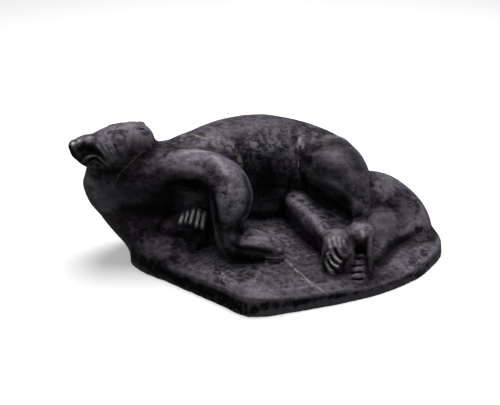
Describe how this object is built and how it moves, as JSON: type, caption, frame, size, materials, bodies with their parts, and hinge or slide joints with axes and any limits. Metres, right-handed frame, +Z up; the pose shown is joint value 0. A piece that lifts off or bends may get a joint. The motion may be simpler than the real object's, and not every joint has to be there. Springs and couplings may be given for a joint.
{
  "type": "soapstone otter carving",
  "caption": "Stone carving of an otter resting on a slab, nose raised, back arched, feet gathered in front and tail curled round one end; stands on its flat underside.",
  "frame": {"origin": "on the flat underside, below the middle of the carving's bounding box", "axes": "+X from the nose to the tail's end, +Y away from the otter's feet towards its back, +Z up"},
  "size_m": [0.2304, 0.1418, 0.0874],
  "materials": {
    "soapstone": "satin polish, dark grey with a plum tint and thin tan veins"
  },
  "bodies": {
    "root": {"otter": "soapstone"}
  },
  "joints": []
}
